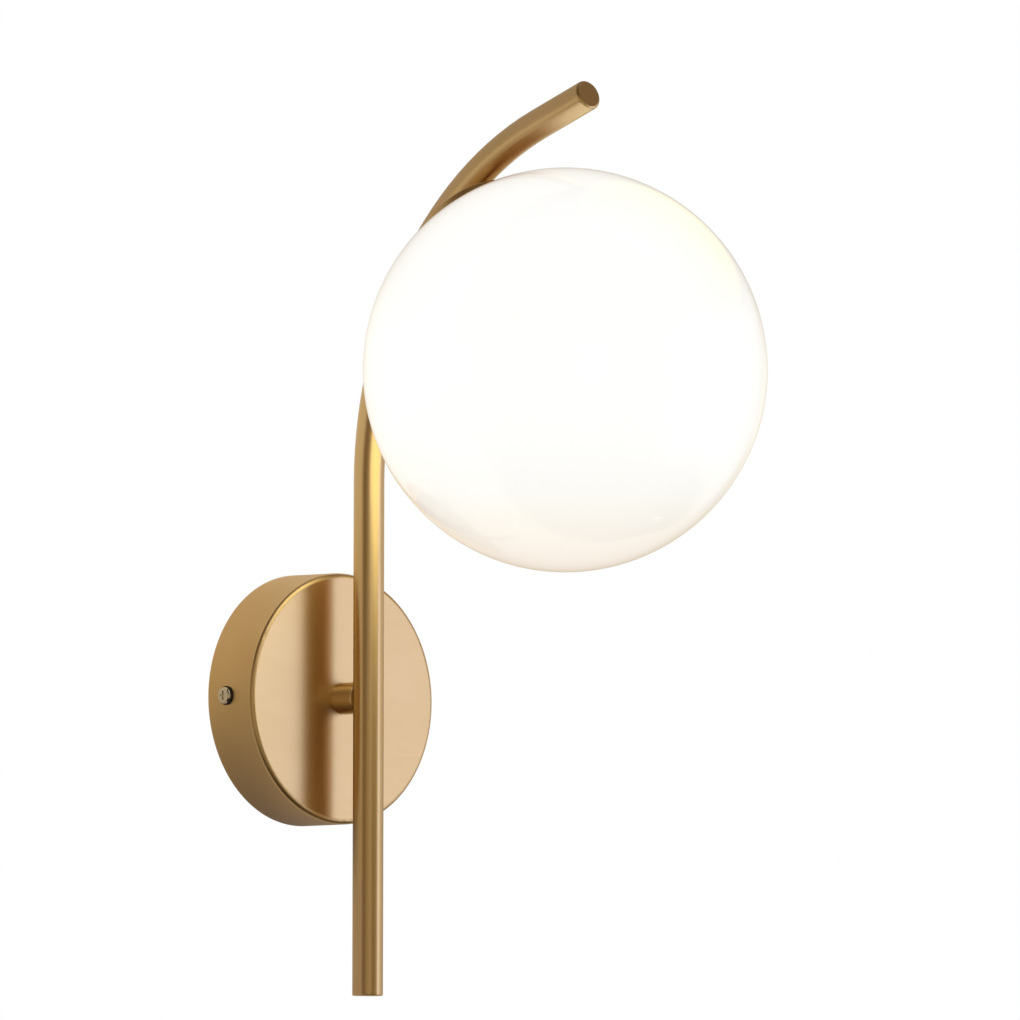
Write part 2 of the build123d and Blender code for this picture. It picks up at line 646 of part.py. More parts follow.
def lead(pole_x, offset_x, end_x):
    """A lead from its terminal through post and rod to the lampholder."""
    early = degrees(atan((lead_turn_radius + lead_turn_margin) / rod_bend_radius))
    arc_angle = fitter_angle - early
    corner_radius = rod_bend_radius / cos(radians(early))
    block_rise = (bracket_plate_height / 2 + block_below_plate) / 2
    spread_end = terminal_top + holder_terminal_size / 2 + lead_diameter
    points = [
        (pole_x, lead_start_y, block_top_z - lead_in_terminal),
        (pole_x, lead_start_y, -block_rise),
        (offset_x, bush_end_y + lead_soft_radius / 2, 0),
        (offset_x, rod_y, 0),
        (offset_x, rod_y, bend_z + rod_bend_radius * tan(radians(arc_angle / 2))),
        (offset_x, bend_y + corner_radius * fitter_y, bend_z + corner_radius * fitter_z),
        fitter_point(offset_x, fitter_nipple_bottom - lead_diameter),
        fitter_point(end_x, spread_end),
        fitter_point(end_x, lead_end),
    ]
    radii = [lead_soft_radius, lead_soft_radius, lead_turn_radius, rod_bend_radius, lead_turn_radius,
             lead_diameter, lead_diameter]
    path = FilletPolyline(*points, radius=radii)
    print("lead", round(path.length, 1), "mm, tightest bend", min(radii))
    return bar_along(path, lead_diameter / 2)


lead_live = lead(pole_places[0], -lead_offset, -holder_terminal_spacing / 2)
lead_neutral = lead(pole_places[1], lead_offset, holder_terminal_spacing / 2)

earth_line = FilletPolyline(
    (earth_screw_x, barrel_y, lug_barrel_top - lug_thickness),
    (earth_screw_x, barrel_y, lug_barrel_bottom - lead_diameter),
    (pole_places[2], lead_start_y, block_top_z + lead_diameter),
    (pole_places[2], lead_start_y, block_top_z - lead_in_terminal),
    radius=lead_diameter)
earth_lead = bar_along(earth_line, lead_diameter / 2)

# ---------------------------------------------------------------- export
nodes = {
    "wall_bracket": wall_bracket,
    "earth_screw": earth_screw,
    "earth_lug": earth_lug,
    "earth_lead": earth_lead,
    "terminal_block": terminal_block,
    "terminal_contacts": terminal_contacts,
    "terminal_clamp_screws": terminal_clamp_screws,
    "terminal_fixing_screws": terminal_fixing_screws,
    "canopy": canopy,
    "canopy_side_screws": canopy_side_screws,
    "canopy_nipple": canopy_nipple,
    "canopy_lock_washer": canopy_lock_washer,
    "canopy_nut": canopy_nut,
    "canopy_bush": canopy_bush,
    "spacer_post": spacer_post,
    "rod": rod,
    "rod_bottom_plug": rod_bottom_plug,
    "rod_tip_plug": rod_tip_plug,
    "lead_live": lead_live,
    "lead_neutral": lead_neutral,
    "fitter_boss": fitter_boss,
    "fitter_nipple": fitter_nipple,
    "fitter_nut": fitter_nut,
    "gallery_cap": gallery_cap,
    "gallery_thread_ring": gallery_thread_ring,
    "globe_seal": globe_seal,
    "globe": globe,
    "lampholder_cap": lampholder_cap,
    "lampholder_skirt": lampholder_skirt,
    "lampholder_insert": lampholder_insert,
    "lampholder_thread_shell": lampholder_thread_shell,
    "lampholder_centre_contact": lampholder_centre_contact,
    "lampholder_terminals": lampholder_terminals,
    "lampholder_terminal_screws": lampholder_terminal_screws,
    "bulb_envelope": bulb_envelope,
    "bulb_housing": bulb_housing,
    "bulb_led_board": bulb_led_board,
    "bulb_screw_shell": bulb_screw_shell,
    "bulb_insulator": bulb_insulator,
    "bulb_tip_contact": bulb_tip_contact,
}
os.makedirs("parts", exist_ok=True)
for name, shape in nodes.items():
    export_step(shape, f"parts/{name}.step")
print(len(nodes), "nodes; globe centre", round(globe_y, 2), round(globe_z, 2), "fitter axis", fitter.z_dir)
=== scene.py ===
# %% [markdown]
# # Globe wall sconce
# A wall light in satin brass: a drum canopy, a short post, one long bent rod and a lit globe of opal
# glass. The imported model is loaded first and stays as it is. It is the fixed frame: its nodes lie in
# metres, at their real size, with the wall at y = 0 and the room on the -Y side.

# %% Load the frame
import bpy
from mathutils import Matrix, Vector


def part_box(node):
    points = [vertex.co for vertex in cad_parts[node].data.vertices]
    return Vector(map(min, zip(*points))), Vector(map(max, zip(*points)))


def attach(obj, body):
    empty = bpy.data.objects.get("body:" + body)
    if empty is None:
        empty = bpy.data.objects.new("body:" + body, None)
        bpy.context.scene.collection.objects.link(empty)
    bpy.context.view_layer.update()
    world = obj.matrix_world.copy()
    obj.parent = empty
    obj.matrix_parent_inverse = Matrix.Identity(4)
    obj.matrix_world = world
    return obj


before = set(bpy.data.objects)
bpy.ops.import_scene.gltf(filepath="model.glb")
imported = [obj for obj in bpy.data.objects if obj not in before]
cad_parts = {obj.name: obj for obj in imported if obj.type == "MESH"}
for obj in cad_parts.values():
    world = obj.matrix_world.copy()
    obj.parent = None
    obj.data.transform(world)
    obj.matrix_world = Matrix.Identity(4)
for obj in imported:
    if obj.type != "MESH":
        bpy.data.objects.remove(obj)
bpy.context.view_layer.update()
print("frame with", len(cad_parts), "nodes")

# %% Modules and units
from math import cos, pi, radians, sin

import bpy
from mathutils import Matrix, Vector

MM = 0.001
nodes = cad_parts
bpy.ops.object.select_all(action="DESELECT")

# %% [markdown]
# ## Camera
# The light is seen from its left and a little from below. A long lens far away keeps upright lines
# upright, as in a product picture. The lens is worked out from the width that the picture shows. The
# picture is turned by a sixth of a degree, because the photographed light leans by that much.

# %% Camera
camera_azimuth = radians(-43.92)
camera_elevation = radians(-3.07)
camera_roll = radians(0.155)
camera_distance = 16.0
picture_width = 507.73 * MM
picture_centre = Vector((71.74, -76.16, 95.11)) * MM
camera_back = Vector((
    sin(camera_azimuth) * cos(camera_elevation),
    -cos(camera_azimuth) * cos(camera_elevation),
    sin(camera_elevation)))
camera_data = bpy.data.cameras.new("camera")
camera_data.lens = camera_data.sensor_width * camera_distance / picture_width
camera_data.clip_end = 2 * camera_distance
camera = bpy.data.objects.new("camera", camera_data)
bpy.context.scene.collection.objects.link(camera)
camera.location = picture_centre + camera_back * camera_distance
upright = camera_back.to_track_quat("Z", "Y").to_matrix()
camera.rotation_euler = (upright @ Matrix.Rotation(camera_roll, 3, "Z")).to_euler()
bpy.context.scene.camera = camera
bpy.context.scene.view_settings.view_transform = "Standard"
print("lens", round(camera_data.lens, 1), "mm")


# %% [markdown]
# ## Helpers for materials
# A colour is written as the hex value that a picture program shows. Blender wants it linear, so one
# function turns it. Another adds a node with its settings and links. A pattern's size is given in
# real millimetres, and a third function turns that into a texture that repeats at that size.

# %% Colour and node helpers
def linear(hex_colour):
    """Turns '#rrggbb' into Blender's linear colour with full alpha."""
    shares = [int(hex_colour[i:i + 2], 16) / 255 for i in (1, 3, 5)]
    straight = [c / 12.92 if c <= 0.04045 else ((c + 0.055) / 1.055) ** 2.4 for c in shares]
    return (*straight, 1.0)


def add(tree, kind, inputs=None, **settings):
    """Adds a node. An input is a value, or a socket to link from."""
    node = tree.nodes.new("ShaderNode" + kind)
    for name, value in settings.items():
        setattr(node, name, value)
    for place, value in (inputs or {}).items():
        if isinstance(value, bpy.types.NodeSocket):
            tree.links.new(value, node.inputs[place])
        else:
            node.inputs[place].default_value = value
    return node


def new_material(name):
    """An empty node material, its tree and the piece's own coordinates in metres."""
    material = bpy.data.materials.new(name)
    material.use_nodes = True
    material.node_tree.nodes.clear()
    place = add(material.node_tree, "TexCoord").outputs["Object"]
    return material, material.node_tree, place


def speckle(tree, place, size, detail=2.0):
    """A soft random pattern whose patches are about size across, from 0 to 1."""
    return add(tree, "TexNoise", {"Vector": place, "Scale": 1 / size, "Detail": detail}).outputs["Fac"]


def between(tree, share, low, high):
    """A number that goes from low to high as share goes from 0 to 1."""
    return add(tree, "MapRange", {"Value": share, "To Min": low, "To Max": high}).outputs["Result"]


def blend_colours(tree, share, first, second):
    """A colour between two hex colours."""
    mix = add(tree, "Mix", {"Factor": share}, data_type="RGBA")
    colours = [socket for socket in mix.inputs if socket.type == "RGBA"]
    colours[0].default_value = linear(first)
    colours[1].default_value = linear(second)
    return [socket for socket in mix.outputs if socket.type == "RGBA"][0]


def cover_colour(tree, share, under, hex_colour):
    """A linked colour that a hex colour covers more as share goes from 0 to 1."""
    mix = add(tree, "Mix", {"Factor": share}, data_type="RGBA")
    colours = [socket for socket in mix.inputs if socket.type == "RGBA"]
    tree.links.new(under, colours[0])
    colours[1].default_value = linear(hex_colour)
    return [socket for socket in mix.outputs if socket.type == "RGBA"][0]


def tone_ramp(tree, value, steps, unit):
    """Colours that follow a value. Each step is a place, in units, and the colour there."""
    lowest, highest = steps[0][0], steps[-1][0]
    share = add(tree, "MapRange", {"Value": value, "From Min": lowest * unit, "From Max": highest * unit})
    node = add(tree, "ValToRGB", {0: share.outputs[0]})
    elements = node.color_ramp.elements
    for _ in range(len(steps) - len(elements)):
        elements.new(1.0)
    for element, (place, tone) in zip(elements, steps):
        element.position = (place - lowest) / (highest - lowest)
        element.color = (*tone, 1.0)
    return node.outputs[0]


def close_material(tree, inputs):
    """Makes the surface's shader and links it to the output."""
    shader = add(tree, "BsdfPrincipled", inputs)
    add(tree, "OutputMaterial", {"Surface": shader.outputs[0]})


print("middle grey #808080 is", round(linear("#808080")[0], 3), "in linear light")

# %% [markdown]
# ## Sizes that the finishes follow
# Brushing and turning marks run round a piece's own axis, so the finishes need the rod's bend and the
# slanted axis that the globe hangs on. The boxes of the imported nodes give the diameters.

# %% Measure the frame
globe_low, globe_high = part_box("globe")
globe_radius = (globe_high.x - globe_low.x) / 2
globe_middle = Vector((0, globe_low.y + globe_radius, globe_low.z + globe_radius))
canopy_low, canopy_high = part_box("canopy")
canopy_radius = canopy_high.x
edge_rounding = 2.5 * MM
rim_radius = canopy_radius - edge_rounding
rim_y = canopy_low.y + edge_rounding
bend_radius = 184.4 * MM
bend_angle = radians(69.8)
bend_y = -234.05 * MM
bend_z = 106.8 * MM
fitter_angle = radians(48.8)
fitter_up = Vector((0, cos(fitter_angle), sin(fitter_angle)))
print("globe radius", round(globe_radius / MM, 1), "mm, middle", [round(c / MM, 1) for c in globe_middle])


# %% [markdown]
# ## Satin brass
# The brass is brushed and lacquered. Brushing leaves fine parallel scratches, which smear a
# reflection across them and keep it sharp along them. On the rod they run round it, so the globe's
# reflection is drawn out into a long upright streak, and the canopy's face shows the rod as a tall
# dark band. The shader's anisotropy does this, and its tangent says which way reflections are drawn
# out. A texture could paint the streaks, but painted ones would stay put when the light is turned.

# %% Which way the brass draws reflections out
slight = 0.05      # enough of a second direction to steer the end faces, where the first one stands upright
end_face_draw = -6 * slight      # the gallery's own: larger, and towards its axis
drum_draw = Vector((0, 1, 0.3)).normalized()
rim_blend = 0.2 * MM


def straight_brushing(direction):
    """Reflections are drawn out along one direction of the part."""
    def build(tree, place):
        along = add(tree, "VectorMath", {0: place, 1: direction}, operation="DOT_PRODUCT")
        vector = add(tree, "CombineXYZ", dict(zip("XYZ", direction)))
        return vector.outputs[0], along.outputs["Value"]
    return build


def drum_brushing(tree, place):
    """Drawn out upright on the drum's face, from wall to room on its side, and along its rounded rim."""
    depth = add(tree, "SeparateXYZ", {0: place}).outputs["Y"]
    flat = add(tree, "VectorMath", {0: place, 1: Vector((1, 0, 1))}, operation="MULTIPLY")
    radius = add(tree, "VectorMath", {0: flat.outputs[0]}, operation="LENGTH")
    outside = add(tree, "MapRange", {"Value": radius.outputs["Value"], "From Min": rim_radius - rim_blend,
                                     "From Max": rim_radius + rim_blend})
    forward = add(tree, "MapRange", {"Value": depth, "From Min": rim_y + rim_blend,
                                     "From Max": rim_y - rim_blend})
    rim = add(tree, "Math", {0: outside.outputs[0], 1: forward.outputs[0]}, operation="MULTIPLY")
    pull = add(tree, "Math", {0: rim.outputs[0], 1: 1 / slight}, operation="MULTIPLY")
    around = add(tree, "VectorMath", {0: place, 1: Vector((0, 1, 0))}, operation="CROSS_PRODUCT")
    unit = add(tree, "VectorMath", {0: around.outputs[0]}, operation="NORMALIZE")
    along_rim = add(tree, "VectorMath", {0: unit.outputs[0], "Scale": pull.outputs[0]}, operation="SCALE")
    tangent = add(tree, "VectorMath", {0: along_rim.outputs[0], 1: drum_draw}, operation="ADD")
    length = add(tree, "VectorMath", {0: place, 1: drum_draw}, operation="DOT_PRODUCT")
    return tangent.outputs[0], length.outputs["Value"]


def rod_brushing(tree, place):
    """Reflections are drawn out along the bent rod, whose turn is held between upright and the tip's."""
    axes = add(tree, "SeparateXYZ", {0: place})
    forward = add(tree, "Math", {0: axes.outputs["Y"], 1: bend_y}, operation="SUBTRACT")
    above = add(tree, "Math", {0: axes.outputs["Z"], 1: bend_z}, operation="SUBTRACT")
    turn = add(tree, "Math", {0: above.outputs[0], 1: forward.outputs[0]}, operation="ARCTAN2")
    held = add(tree, "Clamp", {"Value": turn.outputs[0], "Min": 0.0, "Max": bend_angle})
    sine = add(tree, "Math", {0: held.outputs[0]}, operation="SINE")
    cosine = add(tree, "Math", {0: held.outputs[0]}, operation="COSINE")
    backwards = add(tree, "Math", {0: sine.outputs[0], 1: -1.0}, operation="MULTIPLY")
    tangent = add(tree, "CombineXYZ", {"X": slight, "Y": backwards.outputs[0], "Z": cosine.outputs[0]})
    arc = add(tree, "Math", {0: held.outputs[0], 1: bend_radius}, operation="MULTIPLY")
    below = add(tree, "Math", {0: above.outputs[0], 1: 0.0}, operation="MINIMUM")
    length = add(tree, "Math", {0: arc.outputs[0], 1: below.outputs[0]}, operation="ADD")
    return tangent.outputs[0], length.outputs[0]


def lathe_turning(middle, axis):
    """Reflections are drawn out along the axis on a side, and away from it on an end face."""
    def build(tree, place):
        offset = add(tree, "VectorMath", {0: place, 1: middle}, operation="SUBTRACT")
        along = add(tree, "VectorMath", {0: offset.outputs[0], 1: axis}, operation="DOT_PRODUCT")
        on_axis = add(tree, "VectorMath", {0: axis, "Scale": along.outputs["Value"]}, operation="SCALE")
        outward = add(tree, "VectorMath", {0: offset.outputs[0], 1: on_axis.outputs[0]}, operation="SUBTRACT")
        radius = add(tree, "VectorMath", {0: outward.outputs[0]}, operation="LENGTH")
        unit = add(tree, "VectorMath", {0: outward.outputs[0]}, operation="NORMALIZE")
        small = add(tree, "VectorMath", {0: unit.outputs[0], "Scale": end_face_draw}, operation="SCALE")
        tangent = add(tree, "VectorMath", {0: small.outputs[0], 1: axis}, operation="ADD")
        length = add(tree, "Math", {0: along.outputs["Value"], 1: radius.outputs["Value"]},
                     operation="SUBTRACT")
        return tangent.outputs[0], length.outputs[0]
    return build


print("the drum draws reflections out along", [round(c, 2) for c in drum_draw])

# %% [markdown]
# ## One brass, four finishes
# Drum, post, tube and gallery are the same metal and differ only in their brushing, which leaves the
# drum a little less sharp. So one function makes the brass, and each piece hands it its own
# brushing. A random pattern, short across the scratches and long along them, gives their relief and
# lets the gloss vary. The lacquer is a thin coat, whose reflection is fainter and sharper.

# %% Satin brass
scratch_pitch = 0.35 * MM        # real ones are under 0.1 mm, too fine to show
scratch_length = 22 * MM
scratch_depth = 0.05 * MM
lacquer_cloud = 30 * MM
brass_spread = 0.03              # how far the scratches move the roughness to either side


def satin_brass(name, brushing, roughness=0.33, draw_out=0.85):
    """Brushed, lacquered brass whose reflections are drawn out as brushing says."""
    material, tree, place = new_material(name)
    tangent, length = brushing(tree, place)
    across = add(tree, "Math", {0: length, 1: 1 / scratch_pitch}, operation="MULTIPLY")
    around = add(tree, "VectorMath", {0: place, "Scale": 1 / scratch_length}, operation="SCALE")
    scratches = add(tree, "TexNoise", {"Vector": around.outputs[0], "W": across.outputs[0], "Scale": 1.0,
                                       "Detail": 2.0}, noise_dimensions="4D").outputs["Fac"]
    cloud = speckle(tree, place, lacquer_cloud)
    bump = add(tree, "Bump", {"Height": scratches, "Strength": 0.05, "Distance": scratch_depth})
    close_material(tree, {
        "Base Color": blend_colours(tree, cloud, "#DBBD87", "#E3C494"), "Metallic": 1.0,
        "Roughness": between(tree, scratches, roughness - brass_spread, roughness + brass_spread),
        "Anisotropic": draw_out, "Tangent": tangent, "Normal": bump.outputs[0],
        "Coat Weight": 0.25, "Coat Roughness": 0.15})
    return material


brass_canopy = satin_brass("satin brass, brushed drum", drum_brushing, roughness=0.345, draw_out=0.78)
brass_post = satin_brass("satin brass, turned post", straight_brushing(Vector((slight, 1, 0)).normalized()))
brass_rod = satin_brass("satin brass, brushed tube", rod_brushing)
brass_fitter = satin_brass("satin brass, turned gallery", lathe_turning(globe_middle, fitter_up))
print("satin brass for drum, post, tube and gallery")


# %% [markdown]
# ## Opal glass
# Opal glass scatters the bulb's light, so the whole globe glows and shows no bulb. The glow is even
# over most of it, a little warmer and dimmer at the bottom, and it fades at the crown, which the
# lampholder shades. It is made as light that the surface gives off: scattering inside real glass
# walls would take far longer. Two parts glow more than white, the side towards the wall and a patch
# under the rod's tip. A picture shows nothing brighter than white, so little more than a faint
# yellow tint is seen of that, but brass mirrors a share of it, which brightens its reflections. The
# blown skin is glossy, and its reflection draws the darker line round the edge.

# %% Opal glass
glow_steps = (          # height from the middle, as a share of the radius, and the glow there
    (-1.00, (0.965, 0.895, 0.805)),
    (-0.94, (0.975, 0.905, 0.820)),
    (-0.85, (0.985, 0.930, 0.845)),
    (-0.75, (0.995, 0.962, 0.885)),
    (-0.65, (1.000, 0.985, 0.940)),
    (-0.42, (1.015, 1.015, 0.995)),
    (1.00, (1.020, 1.020, 1.005)))
brighter_sides = (      # a direction, where along it the extra glow starts and is full, and how much
    (Vector((0.69, 0.72, 0.0)), 0.10, 0.50, (0.95, 0.85, 0.20)),     # towards the wall and the rod
    (Vector((0.0, -0.77, 0.64)), 0.87, 0.97, (0.50, 0.40, 0.00)))    # under the rod's tip
crown_bright = 76 * MM    # along the fitter's axis: the glow is full up to here
crown_dark = 88 * MM
cord_size = 40 * MM       # blown glass is a little uneven, in patches of about this size
cord_depth = 0.3 * MM


def opal_glass():
    """Lit opal glass."""
    material, tree, place = new_material("opal glass, blown and lit")
    offset = add(tree, "VectorMath", {0: place, 1: globe_middle}, operation="SUBTRACT")
    height = add(tree, "SeparateXYZ", {0: offset.outputs[0]}).outputs["Z"]
    glow = tone_ramp(tree, height, glow_steps, globe_radius)
    along = add(tree, "VectorMath", {0: offset.outputs[0], 1: fitter_up}, operation="DOT_PRODUCT")
    crown = add(tree, "MapRange", {"Value": along.outputs["Value"], "From Min": crown_bright,
                                   "From Max": crown_dark}, interpolation_type="SMOOTHSTEP")
    for side, start, full, extra in brighter_sides:
        reach = add(tree, "VectorMath", {0: offset.outputs[0], 1: side}, operation="DOT_PRODUCT")
        share = add(tree, "MapRange", {"Value": reach.outputs["Value"], "From Min": start * globe_radius,
                                       "From Max": full * globe_radius}, interpolation_type="SMOOTHSTEP")
        more = add(tree, "VectorMath", {0: extra, "Scale": share.outputs[0]}, operation="SCALE")
        glow = add(tree, "VectorMath", {0: glow, 1: more.outputs[0]}, operation="ADD").outputs[0]
    shaded = cover_colour(tree, crown.outputs[0], glow, "#8A6238")
    cord_marks = speckle(tree, place, cord_size, 1.0)
    bump = add(tree, "Bump", {"Height": cord_marks, "Strength": 0.05, "Distance": cord_depth})
    close_material(tree, {
        "Base Color": linear("#30302E"), "Roughness": 0.28, "Normal": bump.outputs[0],
        "Coat Weight": 1.0, "Coat Roughness": 0.05,
        "Emission Color": shaded, "Emission Strength": 1.0})
    return material


opal = opal_glass()
print("opal glass with", len(glow_steps), "steps of glow")


# %% [markdown]
# ## Steel and plain brass parts
# The parts inside are the usual ones of a lampmaker: pressed steel with a bright zinc coat, a nickel
# coat where a screw shows, and plain turned brass where current flows. The bulb's rolled cap is
# nickel plated too. Zinc shows faint cloudy grains, nickel on a screw is smoother and warmer, and
# bare brass is yellower than the lacquered kind. One function with four recipes makes them, since
# they differ only in colour, grain size, gloss and relief.

# %% Plated and turned metals
relief_depth = 0.05 * MM      # of the grain, on metals and on moulded pieces
gloss_spread = 0.05           # how far the grain moves the roughness to either side
fine_grains = 6               # fine grains across one cloudy patch


def plain_metal(name, dark, light, grain, roughness, relief):
    """A bare or plated metal with a faint grain."""
    material, tree, place = new_material(name)
    patches = speckle(tree, place, grain, 3.0)
    fine = speckle(tree, place, grain / fine_grains)
    bump = add(tree, "Bump", {"Height": fine, "Strength": relief, "Distance": relief_depth})
    close_material(tree, {
        "Base Color": blend_colours(tree, patches, dark, light), "Metallic": 1.0,
        "Roughness": between(tree, patches, roughness - gloss_spread, roughness + gloss_spread),
        "Normal": bump.outputs[0]})
    return material


zinc = plain_metal("steel, bright zinc plated", "#B9BDC1", "#D3D6D8", 4 * MM, 0.30, 0.3)
nickel = plain_metal("steel, nickel plated", "#CFC9BD", "#E2DDD2", 2 * MM, 0.12, 0.1)
contact_brass = plain_metal("brass, turned and bare", "#CDA85F", "#DDBD7A", 1.5 * MM, 0.26, 0.3)
bulb_cap_plate = plain_metal("bulb cap, rolled and nickel plated", "#C9CACC", "#DADBDC", 3 * MM, 0.24, 0.2)
print("zinc, nickel, contact brass and bulb cap")


# %% [markdown]
# ## Plastics, ceramic and rubber
# Moulded plastics carry a fine eroded texture from their mould, steatite is a dense unglazed ceramic
# with a chalky speckle, and lead covers are soft PVC with a dull sheen. All scatter light near their
# surface, so they share one function, with the grain and the gloss set for each.

# %% Moulded, fired and extruded materials
cloud_grains = 8              # grains across one cloud of slightly different colour


def moulded(name, dark, light, grain, roughness, relief, **extra):
    """A non-metal with a fine surface texture. extra sets further sockets by name."""
    material, tree, place = new_material(name)
    cloud = speckle(tree, place, cloud_grains * grain)
    texture = speckle(tree, place, grain, 3.0)
    bump = add(tree, "Bump", {"Height": texture, "Strength": relief, "Distance": relief_depth})
    inputs = {"Base Color": blend_colours(tree, cloud, dark, light), "IOR": 1.5,
              "Roughness": between(tree, texture, roughness - gloss_spread, roughness + gloss_spread),
              "Normal": bump.outputs[0]}
    for socket, value in extra.items():
        inputs[socket.replace("_", " ")] = value
    close_material(tree, inputs)
    return material


polyamide = moulded("polyamide, moulded white", "#DEDBD2", "#EAE8E1", 0.6 * MM, 0.45, 0.4)
black_plastic = moulded("thermoplastic, moulded black", "#161617", "#1F1F21", 0.5 * MM, 0.42, 0.6)
steatite = moulded("steatite, fired and unglazed", "#D9D1C0", "#E8E2D4", 0.4 * MM, 0.70, 0.8)
silicone = moulded("silicone rubber, moulded", "#CFCFC8", "#DCDCD6", 1.0 * MM, 0.50, 0.2)
brown_cover = moulded("PVC cover, brown", "#4A2816", "#55301C", 0.8 * MM, 0.40, 0.3)
blue_cover = moulded("PVC cover, blue", "#1A4A92", "#2257A4", 0.8 * MM, 0.40, 0.3)
bulb_plastic = moulded("bulb housing, moulded white", "#E4E4E1", "#EFEFEC", 0.6 * MM, 0.30, 0.2)
board_lacquer = moulded("circuit board, white lacquer", "#DDE3DC", "#E9EEE8", 1.5 * MM, 0.25, 0.1)
cap_glass = moulded("insulator, black glass", "#08080A", "#101012", 1.0 * MM, 0.08, 0.1)
diffuser = moulded("bulb diffuser, moulded and lit", "#EDEAE2", "#F5F3ED", 2.0 * MM, 0.35, 0.1,
                   Emission_Color=linear("#FFF1D8"), Emission_Strength=2.0)
print("ten moulded, fired and extruded materials")

# %% [markdown]
# ## Earth lead cover
# Earth leads are green with a yellow stripe that winds round them. Slanted bands across the piece
# look the same on a thin lead, and need no map of its surface.

# %% Green and yellow cover
stripe_pitch = 3.2 * MM
stripe_slant = Vector((1, 0.5, 0.8)).normalized()
stripe_edge = 0.1             # how soft the edge between the two colours is
cover_grain = 0.8 * MM


def earth_cover_material():
    """Green PVC with a yellow stripe."""
    material, tree, place = new_material("PVC cover, green and yellow")
    slanted = add(tree, "VectorMath", {0: place, 1: stripe_slant}, operation="DOT_PRODUCT")
    turns = add(tree, "Math", {0: slanted.outputs["Value"], 1: 2 * pi / stripe_pitch}, operation="MULTIPLY")
    wave = add(tree, "Math", {0: turns.outputs[0]}, operation="SINE")
    stripe = add(tree, "MapRange", {"Value": wave.outputs[0], "From Min": -stripe_edge,
                                    "From Max": stripe_edge})
    texture = speckle(tree, place, cover_grain, 3.0)
    bump = add(tree, "Bump", {"Height": texture, "Strength": 0.3, "Distance": relief_depth})
    close_material(tree, {"Base Color": blend_colours(tree, stripe.outputs[0], "#2F7A33", "#E3C62B"),
                          "Roughness": 0.4, "Normal": bump.outputs[0]})
    return material


earth_cover = earth_cover_material()
print("earth lead cover")


# %% [markdown]
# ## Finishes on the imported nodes
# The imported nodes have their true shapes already, so they only get their materials. A material goes
# in by the object's slots, which leaves the mesh as it was packed.

# %% Give every node its material
def finish_node(name, material):
    """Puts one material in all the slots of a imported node."""
    for slot in nodes[name].material_slots:
        slot.material = material


finishes = {
    brass_canopy: ("canopy",),
    brass_post: ("spacer_post",),
    brass_rod: ("rod", "rod_bottom_plug", "rod_tip_plug"),
    brass_fitter: ("fitter_boss", "gallery_cap", "gallery_thread_ring"),
    opal: ("globe",),
    nickel: ("canopy_side_screws", "earth_lug"),
    zinc: ("wall_bracket", "earth_screw", "canopy_nipple", "canopy_lock_washer", "canopy_nut",
           "fitter_nipple", "fitter_nut", "terminal_clamp_screws", "terminal_fixing_screws",
           "lampholder_terminal_screws"),
    contact_brass: ("terminal_contacts", "lampholder_thread_shell", "lampholder_centre_contact",
                    "lampholder_terminals"),
    polyamide: ("terminal_block", "canopy_bush"),
    black_plastic: ("lampholder_cap", "lampholder_skirt"),
    steatite: ("lampholder_insert",),
    silicone: ("globe_seal",),
    brown_cover: ("lead_live",),
    blue_cover: ("lead_neutral",),
    earth_cover: ("earth_lead",),
    diffuser: ("bulb_envelope",),
    bulb_plastic: ("bulb_housing",),
    board_lacquer: ("bulb_led_board",),
    bulb_cap_plate: ("bulb_screw_shell", "bulb_tip_contact"),
    cap_glass: ("bulb_insulator",)}
for material, names in finishes.items():
    for name in names:
        finish_node(name, material)
print(sum(len(names) for names in finishes.values()), "nodes finished of", len(nodes))

# %% [markdown]
# ## Dark rings round the side screws
# Two screws hold the drum on its bracket. A black ring round each head is painted shade: it stands for the
# dark shade that shows round the proud head on the drum. The screws are packed with their heads and recesses,
# so only the rings are added. A ring starts as an open tube. Solidify gives it its wall and a bevel softens
# its edges, which a plain ring lacks.

# %% The dark rings of painted shade
screw_from_wall = 13.2 * MM
shade_ring_radius = 4.75 * MM
shade_ring_bore = 4.28 * MM         # just clears the screw's head
shade_ring_thickness = 0.8 * MM
shade_ring_edge = 0.1 * MM


def apply_modifier(piece, kind, **settings):
    """Adds a modifier to a piece, sets it and applies it."""
    bpy.context.view_layer.objects.active = piece
    modifier = piece.modifiers.new(kind.lower(), kind)
    for name, value in settings.items():
        setattr(modifier, name, value)
    bpy.ops.object.modifier_apply(modifier=modifier.name)


def shade_ring_on_one_side():
    """The dark ring of painted shade on the -X side: an open tube that gets its wall, then its soft edges."""
    bpy.ops.mesh.primitive_cylinder_add(vertices=64, radius=shade_ring_radius, depth=shade_ring_thickness,
                                        location=(-canopy_radius - shade_ring_thickness / 2, -screw_from_wall, 0),
                                        rotation=(0, -pi / 2, 0), end_fill_type="NOTHING")
    bpy.ops.object.transform_apply()
    shade_ring = bpy.context.object
    apply_modifier(shade_ring, "SOLIDIFY", thickness=shade_ring_radius - shade_ring_bore, offset=-1)
    apply_modifier(shade_ring, "BEVEL", width=shade_ring_edge, segments=2, limit_method="ANGLE",
                   angle_limit=radians(60))
    return shade_ring


def both_sides(piece, name):
    """Copies a piece to the opposite side of the drum and joins the two into one object."""
    to_middle = Matrix.Translation((0, screw_from_wall, 0))
    other = piece.copy()
    other.data = piece.data.copy()
    bpy.context.scene.collection.objects.link(other)
    other.data.transform(to_middle.inverted() @ Matrix.Rotation(pi, 4, "Z") @ to_middle)
    bpy.ops.object.select_all(action="DESELECT")
    other.select_set(True)
    piece.select_set(True)
    bpy.context.view_layer.objects.active = piece
    bpy.ops.object.join()
    bpy.ops.object.shade_smooth_by_angle(angle=radians(35))
    piece.name = name
    bpy.ops.object.select_all(action="DESELECT")
    return piece
